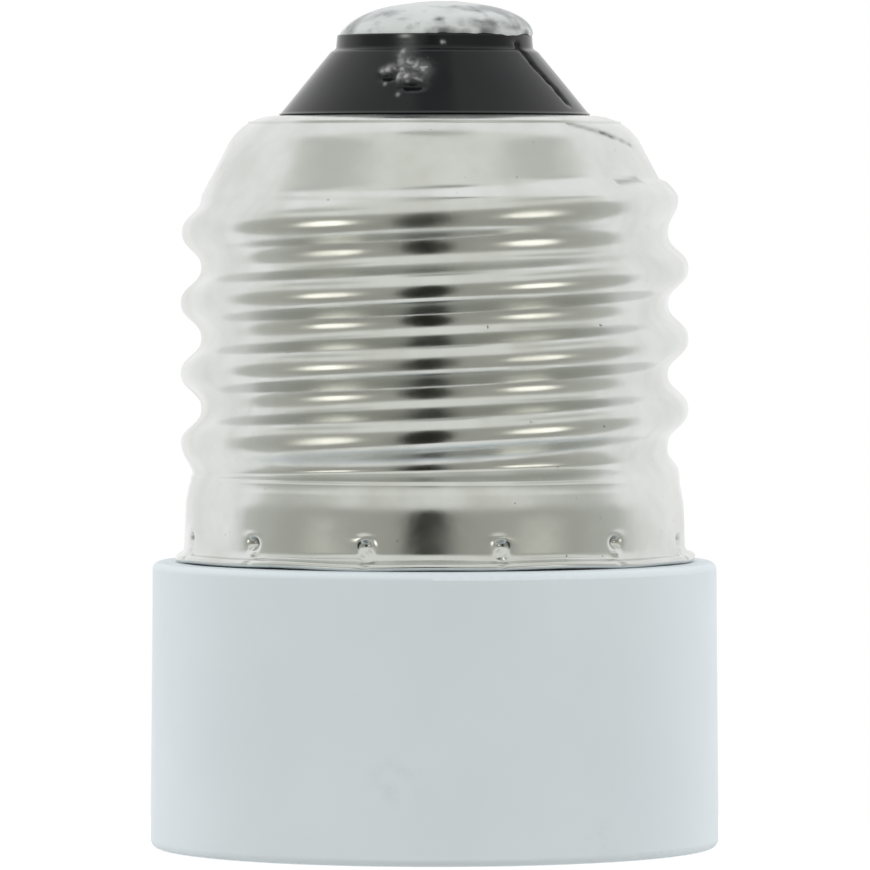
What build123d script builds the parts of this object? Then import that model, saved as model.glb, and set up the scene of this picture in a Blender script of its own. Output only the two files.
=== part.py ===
"""Lamp socket adapter: an E27 screw cap that carries an E14 lamp holder.

It stands on the collar's mouth, with the screw cap's tip contact up. Millimetres, +Z up,
origin at the centre of the mouth plane.
"""
import os
from math import atan2, cos, degrees, radians, tan

from build123d import *

# Fits
seat_gap = 0.02             # between pieces that are fused or soldered together
spigot_gap = 0.05           # the shell's skirt round the collar's spigot
lamp_shell_gap = 0.15       # the lamp shell in its tube
slot_gap = 0.1              # sheet tabs and the leaf's tail in their slots
lead_gap = 0.15             # sleeved leads in their holes

# Collar, a white moulding
collar_height = 14.7
collar_ledge = 1.08         # the ledge outside the shell's lip
collar_draft = 0.13         # from the ledge's radius to the mouth's
collar_edge = 0.4
spigot_height = 3.3
spigot_wall = 1.6
mouth_bore_radius = 8.75
mouth_bore_depth = 5.0
mouth_chamfer = 0.5
tube_wall = 1.6
floor_thickness = 1.5
pocket_floor_wall = 1.6     # between the mouth's step and the pocket above it

# Screw shell, rolled from nickel plated sheet; heights from its seat on the collar
sheet = 0.3
skirt_radius = 12.9
crest_rise = 0.17           # the thread's crest above the skirt
thread_depth = 1.05
pitch = 3.629
thread_start = 4.22         # height of a crest on the +X side
thread_height = 15.4
thread_core_gap = 0.07      # the plain core inside the thread's root
run_in_height = 0.9         # the first crest rises out of the skirt over this height
run_out_height = 0.92       # the last crest is pressed away over this height
lip_ledge = 0.55            # the lip's reach beyond the skirt
lip_height = 0.45
crown_foot = 18.8
crown_height = 22.93
crown_taper = 27.5          # degrees from upright
crown_round = 2.8
crown_inset = 5.3           # from the skirt's radius in to the crown's hole

# Punch marks that hold the shell on the collar
punch_count = 12
punch_first = 15.0          # degrees
punch_above_lip = 0.8
punch_radius = 0.5
punch_tip_radius = 0.25
punch_depth = 0.4

# Insulator and tip contact
insulator_ledge = 0.42      # the insulator's foot over the crown's hole
insulator_shoulder_radius = 5.38
insulator_cone_height = 3.25
insulator_rim_radius = 5.02
insulator_rim_height = 0.92
flange_thickness = 1.7
plate_radius = 4.5
plate_thickness = 0.4
plate_recess = 0.8
dome_height = 1.78
dome_shoulder = 0.95        # radius where the solder rounds into the rim

# Lamp shell, the inner E14 screw
lamp_sheet = 0.3
lamp_root_radius = 7.0
lamp_crest_radius = 6.25
lamp_pitch = 2.822
lamp_ridge_foot = 1.9
lamp_ridge_crest = 0.6
lamp_thread_start = 3.2     # from the shell's lip to the first turn
lamp_thread_height = 10.5
lamp_lip_radius = 8.4
lamp_shell_height = 17.0    # from the collar's step to the floor
tab_width = 2.5
tab_reach = 1.5
tab_bend = 0.45

# Contact leaf
leaf_sheet = 0.35
leaf_width = 4.0
leaf_tail_width = 2.4
leaf_tail_offset = 4.4      # from the axis to the tail
leaf_tail_above_floor = 2.0
leaf_corner_drop = 0.8      # from the floor to the corner of the bend
leaf_bend = 0.9
leaf_contact_drop = 3.3     # from the floor to the touching point
leaf_tip_reach = 2.3
leaf_tip_rise = 0.8
leaf_tip_bend = 1.0
leaf_swing = 18.0           # degrees, the leaf's travel under a lamp

# Leads and their solder
core_radius = 0.4
sleeve_radius = 0.8
solder_film = 0.1           # between the live lead and the leaf's tail
live_joint_radius = 0.8
live_joint_height = 1.3
live_rise = 4.0             # from the leaf's joint to the lead's first bend
live_straight = 2.6         # upright stretch under the insulator
live_end_depth = 0.5        # into the solder above the rim
shell_joint_radius = 0.95
shell_joint_height = 1.1
shell_lead_rise = 2.3       # from the tab to the lead's first bend
shell_lead_crest = 3.4      # from the tab to the top of the loop
shell_lead_clearance = 0.35 # the sleeve inside the thread's wall
shell_lead_drop = 3.0       # from the spigot's rim up to where the lead turns outward
shell_lead_dip = 0.3        # from the spigot's rim down to where the lead lies in its groove
shell_lead_end = 0.6        # above the shell's seat
lead_groove_width = 1.0
lead_groove_depth = 1.2
sleeve_bare_end = 1.6

# Heights and radii worked out from the values above
crest_radius = skirt_radius + crest_rise
root_radius = crest_radius - thread_depth
lip_radius = skirt_radius + lip_ledge
collar_ledge_radius = lip_radius + collar_ledge
collar_mouth_radius = collar_ledge_radius + collar_draft
step_z = mouth_bore_depth
lip_seat_z = step_z + lamp_sheet
floor_z = step_z + lamp_shell_height
floor_top = floor_z + floor_thickness
pocket_floor_z = step_z + pocket_floor_wall
lamp_outer_radius = lamp_root_radius + lamp_sheet
tube_bore_radius = lamp_outer_radius + lamp_shell_gap
tube_radius = tube_bore_radius + tube_wall
lip_recess_radius = lamp_lip_radius + slot_gap
skirt_inner_radius = skirt_radius - sheet
skirt_mid_radius = skirt_radius - sheet / 2
spigot_radius = skirt_inner_radius - spigot_gap
spigot_top = collar_height + spigot_height
lip_top = collar_height + lip_height
lip_flare = 0.62 * lip_ledge
lip_round = 0.34 * lip_ledge
punch_z = lip_top + punch_above_lip
thread_z = collar_height + thread_start
thread_top = thread_z + thread_height
thread_amplitude = (crest_radius - root_radius) / 2
thread_mean_radius = root_radius + thread_amplitude
core_shell_radius = root_radius - thread_core_gap
core_mid_radius = core_shell_radius - sheet / 2
shell_inner_radius = core_shell_radius - sheet
crown_foot_z = collar_height + crown_foot
crown_z = collar_height + crown_height
crown_inner_z = crown_z - sheet
crown_slope = tan(radians(crown_taper))
crown_hole_radius = skirt_radius - crown_inset
insulator_base_radius = crown_hole_radius + insulator_ledge
crown_corner_radius = core_shell_radius - (crown_z - crown_foot_z) * crown_slope
cone_wall = sheet / cos(radians(crown_taper))
crown_inner_corner = core_shell_radius - (crown_inner_z - crown_foot_z) * crown_slope - cone_wall
crown_inner_foot_z = crown_foot_z + (sheet - cone_wall) / crown_slope
crown_inner_round = crown_round - sheet
crown_at_thread = core_shell_radius - (thread_top - crown_foot_z) * crown_slope
crown_flat_radius = crown_inner_corner - crown_inner_round * tan(radians(45 - crown_taper / 2))
shoulder_z = crown_z + insulator_cone_height
rim_z = shoulder_z + insulator_rim_height
plate_z = rim_z - plate_recess
plate_top = plate_z + plate_thickness
dome_spread = insulator_rim_radius - dome_shoulder
dome_rise = dome_height - dome_shoulder
dome_depth = (dome_spread**2 - dome_rise**2) / (2 * dome_rise)
dome_turn = degrees(atan2(dome_depth, dome_spread))
lead_hole_radius = sleeve_radius + lead_gap
solder_hole_radius = core_radius + seat_gap
tab_x = lamp_outer_radius - lamp_sheet / 2
tab_top = floor_top + lamp_sheet
leaf_bend_z = floor_z - leaf_corner_drop


def lead_radii(points):
    """Bend radii as large as the runs of a lead's route allow, one for each corner."""
    radii = []
    for before, corner, after in zip(points, points[1:], points[2:]):
        run_in = Vector(*corner) - Vector(*before)
        run_out = Vector(*after) - Vector(*corner)
        half_turn = radians(run_in.get_angle(run_out) / 2)
        radii.append(0.45 * min(run_in.length, run_out.length) / tan(half_turn))
    return radii


# Collar: drafted outside, spigot, tube with a floor for the lamp shell, cored from above
with BuildPart() as collar:
    with BuildSketch(Plane.XZ) as collar_section:
        with BuildLine():
            Polyline(
                (mouth_bore_radius, 0),
                (collar_mouth_radius, 0),
                (collar_ledge_radius, collar_height),
                (spigot_radius, collar_height),
                (spigot_radius, spigot_top),
                (spigot_radius - spigot_wall, spigot_top),
                (spigot_radius - spigot_wall, pocket_floor_z),
                (tube_radius, pocket_floor_z),
                (tube_radius, floor_top),
                (0, floor_top),
                (0, floor_z),
                (tube_bore_radius, floor_z),
                (tube_bore_radius, lip_seat_z),
                (lip_recess_radius, lip_seat_z),
                (lip_recess_radius, step_z),
                (mouth_bore_radius, step_z),
                close=True,
            )
        make_face()
        by_radius = collar_section.vertices().sort_by(Axis.X)
        fillet(by_radius[-2:], collar_edge)
        mouth_edge = collar_section.vertices().group_by(Axis.Y)[0].sort_by(Axis.X)[0]
        chamfer(mouth_edge, mouth_chamfer)
    revolve(axis=Axis.Z)

    # Slots in the floor for the lamp shell's two tabs
    tab_slot_depth = lamp_sheet / 2 + slot_gap + tab_bend + seat_gap
    tab_slot_radius = tab_x - lamp_sheet / 2 - slot_gap + tab_slot_depth / 2
    with BuildSketch(Plane.XY.offset(floor_z)):
        with PolarLocations(tab_slot_radius, 2):
            Rectangle(tab_slot_depth, tab_width + 2 * slot_gap)
    extrude(amount=floor_thickness, mode=Mode.SUBTRACT)

    # Slot for the leaf's tail, with room behind it for the leaf's travel
    tail_swing = (floor_thickness + leaf_corner_drop) * tan(radians(leaf_swing))
    slot_depth = leaf_sheet + 2 * slot_gap + tail_swing
    slot_y = -leaf_tail_offset + leaf_sheet / 2 + slot_gap - slot_depth / 2
    with BuildSketch(Plane.XY.offset(floor_z)):
        with Locations((0, slot_y)):
            Rectangle(leaf_tail_width + 2 * slot_gap, slot_depth)
    extrude(amount=floor_thickness, mode=Mode.SUBTRACT)

    # Groove in the spigot for the bare end of the shell's lead
    with BuildSketch(Plane.XY.offset(collar_height)):
        with Locations((spigot_radius, 0)):
            Rectangle(2 * lead_groove_depth, lead_groove_width)
    extrude(amount=spigot_height, mode=Mode.SUBTRACT)

    # Pockets that the shell's punch marks are driven into
    pocket_depth = punch_depth + sheet + spigot_gap
    with Locations((0, 0, punch_z)):
        with PolarLocations(skirt_radius - pocket_depth / 2, punch_count, start_angle=punch_first):
            Cone(
                punch_radius + sheet + spigot_gap,
                punch_tip_radius + sheet + spigot_gap,
                pocket_depth,
                rotation=(0, -90, 0),
                mode=Mode.SUBTRACT,
            )
collar.part.label = "collar"

# Rolled thread: a round section carried along a small helix, as a band to join the shell
with BuildPart() as thread_band:
    with BuildLine():
        thread_path = Helix(pitch, thread_height, thread_amplitude, center=(0, 0, thread_z))
    with BuildSketch(Plane.XY.offset(thread_z)) as thread_section:
        with Locations((thread_amplitude, 0)):
            Circle(thread_mean_radius)
    sweep(thread_section.sketch, path=thread_path, normal=(0, 0, 1))

    # The crests rise out of the skirt and are pressed away below the crown
    with BuildSketch(Plane.XZ):
        with BuildLine():
            Polyline(
                (skirt_mid_radius, thread_z),
                (skirt_radius, thread_z),
                (crest_radius + seat_gap, thread_z + run_in_height),
                (crest_radius + seat_gap, thread_top - run_out_height),
                (crown_at_thread, thread_top),
                (crown_at_thread - cone_wall / 2, thread_top),
                (core_mid_radius, crown_foot_z),
                (core_mid_radius, thread_z + skirt_mid_radius - core_mid_radius),
                close=True,
            )
        make_face()
    revolve(axis=Axis.Z, mode=Mode.INTERSECT)

# Screw shell: flared lip, skirt, wall under the thread, and crown
with BuildPart() as screw_shell:
    with BuildSketch(Plane.XZ) as shell_section:
        with BuildLine():
            Polyline(
                (skirt_inner_radius, collar_height),
                (lip_radius, collar_height),
                (lip_radius, lip_top),
                (skirt_radius, lip_top),
                (skirt_radius, thread_z),
                (core_shell_radius, thread_z + skirt_radius - core_shell_radius),
                (core_shell_radius, crown_foot_z),
                (crown_corner_radius, crown_z),
                (crown_hole_radius, crown_z),
                (crown_hole_radius, crown_inner_z),
                (crown_inner_corner, crown_inner_z),
                (shell_inner_radius, crown_inner_foot_z),
                (shell_inner_radius, thread_z - sheet / 2 + skirt_inner_radius - shell_inner_radius),
                (skirt_inner_radius, thread_z - sheet / 2),
                close=True,
            )
        make_face()
        corners = shell_section.vertices()
        crown_edge = corners.filter_by_position(Axis.Y, crown_z, crown_z).sort_by(Axis.X)[-1]
        crown_hollow = corners.filter_by_position(Axis.Y, crown_inner_z, crown_inner_z).sort_by(Axis.X)[-1]
        lip_foot, lip_edge = corners.filter_by_position(Axis.Y, lip_top, lip_top).sort_by(Axis.X)
        fillet(crown_edge, crown_round)
        fillet(crown_hollow, crown_inner_round)
        fillet(lip_foot, lip_flare)
        fillet(lip_edge, lip_round)
    revolve(axis=Axis.Z)

    # Punch marks: each pushes the sheet into a pocket of the collar
    bump_depth = punch_depth + sheet / 2
    bump_radius = skirt_radius - sheet / 2 - bump_depth / 2
    with Locations((0, 0, punch_z)):
        with PolarLocations(bump_radius, punch_count, start_angle=punch_first):
            Cone(punch_radius + sheet, punch_tip_radius + sheet, bump_depth, rotation=(0, -90, 0))
        with PolarLocations(skirt_radius - punch_depth / 2, punch_count, start_angle=punch_first):
            Cone(
                punch_radius, punch_tip_radius, punch_depth, rotation=(0, -90, 0), mode=Mode.SUBTRACT
            )
    add(thread_band.part)
screw_shell.part.label = "screw_shell"

# Insulator: fused into the crown, with a frustum, a rim and a recess for the contact plate
with BuildPart() as insulator:
    with BuildSketch(Plane.XZ):
        with BuildLine():
            Polyline(
                (lead_hole_radius, crown_inner_z - flange_thickness),
                (crown_flat_radius - seat_gap, crown_inner_z - flange_thickness),
                (crown_flat_radius - seat_gap, crown_inner_z),
                (crown_hole_radius - seat_gap, crown_inner_z),
                (crown_hole_radius - seat_gap, crown_z),
                (insulator_base_radius, crown_z),
                (insulator_shoulder_radius, shoulder_z),
                (insulator_rim_radius, rim_z),
                (plate_radius + seat_gap, rim_z),
                (plate_radius + seat_gap, plate_z),
                (lead_hole_radius, plate_z),
                close=True,
            )
        make_face()
    revolve(axis=Axis.Z)
insulator.part.label = "insulator"

# Contact plate in the insulator's recess
with BuildPart() as contact_plate:
    with BuildSketch(Plane.XY.offset(plate_z)):
        Circle(plate_radius)
        Circle(solder_hole_radius, mode=Mode.SUBTRACT)
    extrude(amount=plate_thickness)
contact_plate.part.label = "contact_plate"

# Solder: fills the recess and stands as a dome on the rim, with the live lead's end in it
with BuildPart() as solder_contact:
    with BuildSketch(Plane.XZ):
        with BuildLine():
            shoulder = CenterArc((dome_spread, rim_z), dome_shoulder, 0, dome_turn)
            dome = CenterArc(
                (0, rim_z - dome_depth), dome_depth + dome_height, dome_turn, 90 - dome_turn
            )
            Polyline(
                dome @ 1,
                (0, rim_z + live_end_depth),
                (solder_hole_radius, rim_z + live_end_depth),
                (solder_hole_radius, plate_top),
                (plate_radius, plate_top),
                (plate_radius, rim_z),
                shoulder @ 0,
            )
        make_face()
    revolve(axis=Axis.Z)
solder_contact.part.label = "solder_contact"

# Lamp shell: a rolled tube with the lamp's thread, a flared lip and two tabs over the floor
with BuildPart() as lamp_shell:
    with BuildSketch(Plane.XZ):
        with BuildLine():
            Polyline(
                (lamp_root_radius, step_z),
                (lamp_lip_radius, step_z),
                (lamp_lip_radius, lip_seat_z),
                (lamp_outer_radius, lip_seat_z),
                (lamp_outer_radius, floor_z),
                (lamp_root_radius, floor_z),
                close=True,
            )
        make_face()
    revolve(axis=Axis.Z)

    with BuildLine():
        lamp_path = Helix(
            lamp_pitch, lamp_thread_height, lamp_root_radius, center=(0, 0, step_z + lamp_thread_start)
        )
    with BuildSketch(Plane(origin=lamp_path @ 0, x_dir=(1, 0, 0), z_dir=lamp_path % 0)) as ridge:
        with BuildLine():
            Polyline(
                (lamp_sheet / 2, -lamp_ridge_foot / 2),
                (lamp_sheet / 2, lamp_ridge_foot / 2),
                (lamp_crest_radius - lamp_root_radius, lamp_ridge_crest / 2),
                (lamp_crest_radius - lamp_root_radius, -lamp_ridge_crest / 2),
                close=True,
            )
        make_face()
    sweep(ridge.sketch, path=lamp_path, is_frenet=True)

    with BuildSketch(Plane.XZ) as tab_section:
        with BuildLine():
            tab_line = FilletPolyline(
                (tab_x, floor_z - lamp_sheet),
                (tab_x, floor_top + lamp_sheet / 2),
                (lamp_outer_radius + tab_reach, floor_top + lamp_sheet / 2),
                radius=tab_bend,
            )
        trace(tab_line, lamp_sheet)
        mirror(about=Plane.YZ)
    extrude(amount=tab_width / 2, both=True)
lamp_shell.part.label = "lamp_shell"

# Contact leaf: tail through the floor's slot, bend, and a tongue that meets the lamp's tip
with BuildPart() as contact_leaf:
    tail_line = ((-leaf_tail_offset, floor_z), (-leaf_tail_offset, floor_top + leaf_tail_above_floor))
    with BuildSketch(Plane.YZ):
        with BuildLine():
            Line(*tail_line)
        trace(line_width=leaf_sheet)
    extrude(amount=leaf_tail_width / 2, both=True)
    with BuildSketch(Plane.YZ):
        with BuildLine():
            FilletPolyline(
                (-leaf_tail_offset, floor_z),
                (-leaf_tail_offset, leaf_bend_z),
                (0, floor_z - leaf_contact_drop),
                (leaf_tip_reach, floor_z - leaf_contact_drop + leaf_tip_rise),
                radius=[leaf_bend, leaf_tip_bend],
            )
        trace(line_width=leaf_sheet)
    extrude(amount=leaf_width / 2, both=True)
contact_leaf.part.label = "contact_leaf"

# Live lead: from the leaf's tail up through the insulator into the tip's solder
live_y = -leaf_tail_offset + leaf_sheet / 2 + solder_film + core_radius
live_start_z = floor_top + leaf_tail_above_floor - live_joint_height
live_route = [
    (0, live_y, live_start_z),
    (0, live_y, live_start_z + live_rise),
    (0, 0, crown_inner_z - flange_thickness - live_straight),
    (0, 0, rim_z + live_end_depth),
]
live_sleeve_route = [
    (0, live_y, live_start_z + sleeve_bare_end),
    *live_route[1:3],
    (0, 0, plate_z - lead_gap),
]
live_radii = lead_radii(live_sleeve_route)

with BuildPart() as live_core:
    with BuildLine():
        live_line = FilletPolyline(*live_route, radius=live_radii)
    with BuildSketch(Plane(origin=live_line @ 0, z_dir=live_line % 0)) as live_section:
        Circle(core_radius)
    sweep(live_section.sketch, path=live_line)
live_core.part.label = "live_core"

with BuildPart() as live_sleeve:
    with BuildLine():
        live_cover = FilletPolyline(*live_sleeve_route, radius=live_radii)
    with BuildSketch(Plane(origin=live_cover @ 0, z_dir=live_cover % 0)) as live_ring:
        Circle(sleeve_radius)
        Circle(core_radius + seat_gap, mode=Mode.SUBTRACT)
    sweep(live_ring.sketch, path=live_cover)
live_sleeve.part.label = "live_sleeve"

# Solder on the leaf's tail
with BuildPart() as live_joint:
    with BuildSketch(Plane.XY.offset(live_start_z)) as live_lump:
        with Locations((0, live_y)):
            Circle(live_joint_radius)
            Circle(solder_hole_radius, mode=Mode.SUBTRACT)
        with Locations((0, -leaf_tail_offset + leaf_sheet / 2)):
            Rectangle(
                4 * live_joint_radius,
                4 * live_joint_radius,
                align=(Align.CENTER, Align.MAX),
                mode=Mode.SUBTRACT,
            )
    extrude(amount=live_joint_height)
live_joint.part.label = "live_joint"

# Shell lead: from the lamp shell's tab over to the skirt, where the spigot pinches its bare end
joint_x = lamp_outer_radius + tab_reach / 2
groove_x = skirt_inner_radius - seat_gap - core_radius
wall_x = shell_inner_radius - shell_lead_clearance - sleeve_radius
shell_route = [
    (joint_x, 0, tab_top + seat_gap),
    (joint_x, 0, tab_top + shell_lead_rise),
    ((joint_x + wall_x) / 2, 0, tab_top + shell_lead_crest),
    (wall_x, 0, tab_top + shell_lead_rise),
    (wall_x, 0, spigot_top + shell_lead_drop),
    (groove_x, 0, spigot_top - shell_lead_dip),
    (groove_x, 0, collar_height + shell_lead_end),
]
bend_start = 0.45 * (Vector(*shell_route[5]) - Vector(*shell_route[4])).length
shell_sleeve_route = [
    (joint_x, 0, tab_top + shell_joint_height + lead_gap),
    *shell_route[1:4],
    (wall_x, 0, spigot_top + shell_lead_drop + bend_start + seat_gap),
]
shell_radii = lead_radii(shell_route)

with BuildPart() as shell_core:
    with BuildLine():
        shell_line = FilletPolyline(*shell_route, radius=shell_radii)
    with BuildSketch(Plane(origin=shell_line @ 0, z_dir=shell_line % 0)) as shell_section_round:
        Circle(core_radius)
    sweep(shell_section_round.sketch, path=shell_line)
shell_core.part.label = "shell_core"

with BuildPart() as shell_sleeve:
    with BuildLine():
        shell_cover = FilletPolyline(*shell_sleeve_route, radius=shell_radii[:3])
    with BuildSketch(Plane(origin=shell_cover @ 0, z_dir=shell_cover % 0)) as shell_ring:
        Circle(sleeve_radius)
        Circle(core_radius + seat_gap, mode=Mode.SUBTRACT)
    sweep(shell_ring.sketch, path=shell_cover)
shell_sleeve.part.label = "shell_sleeve"

# Solder on the lamp shell's tab
with BuildPart() as shell_joint:
    with BuildSketch(Plane.XY.offset(tab_top)) as shell_lump:
        with Locations((joint_x, 0)):
            Circle(shell_joint_radius)
            Circle(solder_hole_radius, mode=Mode.SUBTRACT)
    extrude(amount=shell_joint_height)
shell_joint.part.label = "shell_joint"

pieces = [
    collar,
    screw_shell,
    insulator,
    contact_plate,
    solder_contact,
    lamp_shell,
    contact_leaf,
    live_core,
    live_sleeve,
    live_joint,
    shell_core,
    shell_sleeve,
    shell_joint,
]
os.makedirs("parts", exist_ok=True)
for piece in pieces:
    export_step(piece.part, f"parts/{piece.part.label}.step")
print("live lead bends", [round(radius, 2) for radius in live_radii])
print("shell lead bends", [round(radius, 2) for radius in shell_radii])
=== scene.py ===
"""Dresses the lamp socket adapter: nickel screw cap, black insulator, solder tip and white collar.

The solids' frame is loaded first. The rolled screw shell, the insulator and the solder are modelled
again with their small faults, the live lead is cut into rings along its bend, the other solids are
kept, and every surface gets its finish. Sizes are in millimetres unless a name says otherwise, and
+Z points up the cap's axis.
"""

import logging
import math
from collections.abc import Callable, Sequence
from dataclasses import dataclass
from enum import Enum

import bmesh
import bpy
import numpy as np
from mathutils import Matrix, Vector, noise


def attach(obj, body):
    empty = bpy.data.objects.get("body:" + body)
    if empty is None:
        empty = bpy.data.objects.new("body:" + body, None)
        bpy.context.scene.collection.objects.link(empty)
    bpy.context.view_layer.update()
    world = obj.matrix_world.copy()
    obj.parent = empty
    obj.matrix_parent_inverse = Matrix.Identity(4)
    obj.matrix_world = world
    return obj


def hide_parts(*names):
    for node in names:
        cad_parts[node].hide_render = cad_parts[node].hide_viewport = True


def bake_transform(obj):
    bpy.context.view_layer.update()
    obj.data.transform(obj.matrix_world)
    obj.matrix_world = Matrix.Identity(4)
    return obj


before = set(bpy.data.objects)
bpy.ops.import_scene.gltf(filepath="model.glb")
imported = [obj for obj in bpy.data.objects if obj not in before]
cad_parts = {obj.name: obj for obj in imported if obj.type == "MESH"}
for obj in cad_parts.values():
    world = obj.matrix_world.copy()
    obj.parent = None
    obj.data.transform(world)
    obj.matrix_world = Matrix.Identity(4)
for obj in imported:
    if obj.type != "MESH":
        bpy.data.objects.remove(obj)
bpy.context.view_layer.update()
log = logging.getLogger("lamp_adapter")

MM = 0.001
TAU = 2 * math.pi
IMAGE_PIXELS = 870

Colour = tuple[float, float, float]
Field = np.ndarray
Outline = list[tuple[float, float]]
Point = tuple[float, float, float]
Shaped = tuple[Field, Field, dict[str, Field]]
Span = tuple[float, float]
Socket = bpy.types.NodeSocket

WHOLE: Span = (0.0, 1.0)
NOISE_MIDDLE: Span = (0.3, 0.7)


class Body(str, Enum):
    """The rigid bodies that pieces ride on."""

    ADAPTER = "adapter"
    LEAF = "leaf"


class Slot(str, Enum):
    """The record's material slots, by name; no piece here takes its finish from them."""

    NICKEL = "nickel_plate"
    GLASS = "black_glass"
    SOLDER = "solder"
    COPPER = "copper"
    BROWN_SLEEVE = "brown_sleeve"


def ease(values: Field, low: float, high: float) -> Field:
    """Goes smoothly from 0 at low to 1 at high.

    Args:
        values: The values to read.
        low: Where the rise starts.
        high: Where the rise ends.

    Returns:
        An array of the same shape, from 0 to 1.
    """
    share = np.clip((values - low) / (high - low), 0, 1)
    return share * share * (3 - 2 * share)


def bell(values: Field, width: float) -> Field:
    """Makes a smooth bump of height 1 at zero.

    Args:
        values: Distances from the bump's middle.
        width: Distance at which the bump has fallen to about a third.

    Returns:
        The bump's height at each value.
    """
    return np.exp(-((values / width) ** 2))


def larger(first: Field, second: Field | float, rounding: float) -> Field:
    """Takes the larger of two surfaces, with the corner between them rounded.

    Args:
        first: One surface.
        second: The other surface.
        rounding: About how far the rounding reaches.

    Returns:
        The joined surface.
    """
    return 0.5 * (first + second + np.sqrt((first - second) ** 2 + rounding**2))


def turn_from(angles: Field, centre: float) -> Field:
    """Measures turns from a centre angle.

    Args:
        angles: Angles in radians.
        centre: The angle to measure from.

    Returns:
        Signed turns in radians, from minus half a turn to half a turn.
    """
    return (angles - centre + math.pi) % TAU - math.pi


def ripple(angle: Field, waves: Sequence[tuple[float, int, float]]) -> Field:
    """Adds up waves that run round a piece.

    Args:
        angle: Angles of the points.
        waves: The height, the number in a turn and the phase of each wave.

    Returns:
        The waves' sum at each point.
    """
    return sum(size * np.sin(number * angle + phase) for size, number, phase in waves)


def grain(x: Field, y: Field, z: Field, scale: float, seed: float) -> Field:
    """Makes smooth noise at points of a surface.

    Args:
        x: First coordinates.
        y: Second coordinates.
        z: Third coordinates.
        scale: Millimetres from one lump to the next.
        seed: Shifts the noise, so that two fields differ.

    Returns:
        Values from about -1 to 1.
    """
    points = np.stack([x, y, z], axis=1) / scale + seed
    return np.array([noise.noise(Vector(point)) for point in points])


@dataclass(frozen=True)
class Spot:
    """A soft oval on a piece's side.

    Attributes:
        place: Its middle, across the side.
        level: Its middle's height.
        wide: Its width, as bell takes it.
        tall: Its height, as bell takes it.
        value: Its value in the middle.
    """

    place: float
    level: float
    wide: float
    tall: float
    value: float

    def on(self, across: Field, height: Field) -> Field:
        """Reads the spot at points of the side.

        Args:
            across: Where the points are across the side.
            height: Heights of the points.

        Returns:
            The spot's value at each point.
        """
        return self.value * bell(across - self.place, self.wide) * bell(height - self.level, self.tall)


class NodeGraph:
    """A node tree, with short calls for the nodes that the finishes and the studio use."""

    FIRST_COLOUR = 6
    SECOND_COLOUR = 7
    MIXED_COLOUR = 2

    def __init__(self, tree: bpy.types.NodeTree) -> None:
        """Empties the tree.

        Args:
            tree: The tree to fill.
        """
        self.tree = tree
        self.tree.nodes.clear()

    def node(self, kind: str, **settings: object) -> bpy.types.Node:
        """Adds a node.

        Args:
            kind: The node's type.
            settings: Its properties.

        Returns:
            The node.
        """
        added = self.tree.nodes.new(kind)
        for key, value in settings.items():
            setattr(added, key, value)
        return added

    def link(self, source: Socket, target: Socket) -> None:
        """Joins two sockets.

        Args:
            source: An output.
            target: An input.
        """
        self.tree.links.new(source, target)

    def maths(self, operation: str, *values: float | Socket) -> Socket:
        """Adds a maths node.

        Args:
            operation: The node's operation.
            values: Its inputs, as numbers or sockets.

        Returns:
            Its result.
        """
        node = self.node("ShaderNodeMath", operation=operation)
        for value, socket in zip(values, node.inputs):
            if isinstance(value, Socket):
                self.link(value, socket)
            else:
                socket.default_value = value
        return node.outputs["Value"]

    def spread(self, value: Socket, span: Span, result: Span, curve: str = "LINEAR") -> Socket:
        """Maps a span of a value to a new span, held at its ends.

        Args:
            value: The value to map.
            span: Its span.
            result: The new span.
            curve: How the result goes from one end to the other.

        Returns:
            The mapped value.
        """
        ranged = self.node("ShaderNodeMapRange", interpolation_type=curve)
        self.link(value, ranged.inputs["Value"])
        ranged.inputs["From Min"].default_value, ranged.inputs["From Max"].default_value = span
        ranged.inputs["To Min"].default_value, ranged.inputs["To Max"].default_value = result
        return ranged.outputs["Result"]

    def blend(self, share: Socket, first: Colour | Socket, second: Colour | Socket) -> Socket:
        """Mixes two colours.

        Args:
            share: 0 for the first colour, 1 for the second.
            first: A colour or a colour socket.
            second: A colour or a colour socket.

        Returns:
            The mixed colour's socket.
        """
        mix = self.node("ShaderNodeMix", data_type="RGBA")
        self.link(share, mix.inputs["Factor"])
        for colour, index in ((first, self.FIRST_COLOUR), (second, self.SECOND_COLOUR)):
            if isinstance(colour, tuple):
                mix.inputs[index].default_value = (*colour, 1)
            else:
                self.link(colour, mix.inputs[index])
        return mix.outputs[self.MIXED_COLOUR]


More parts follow.
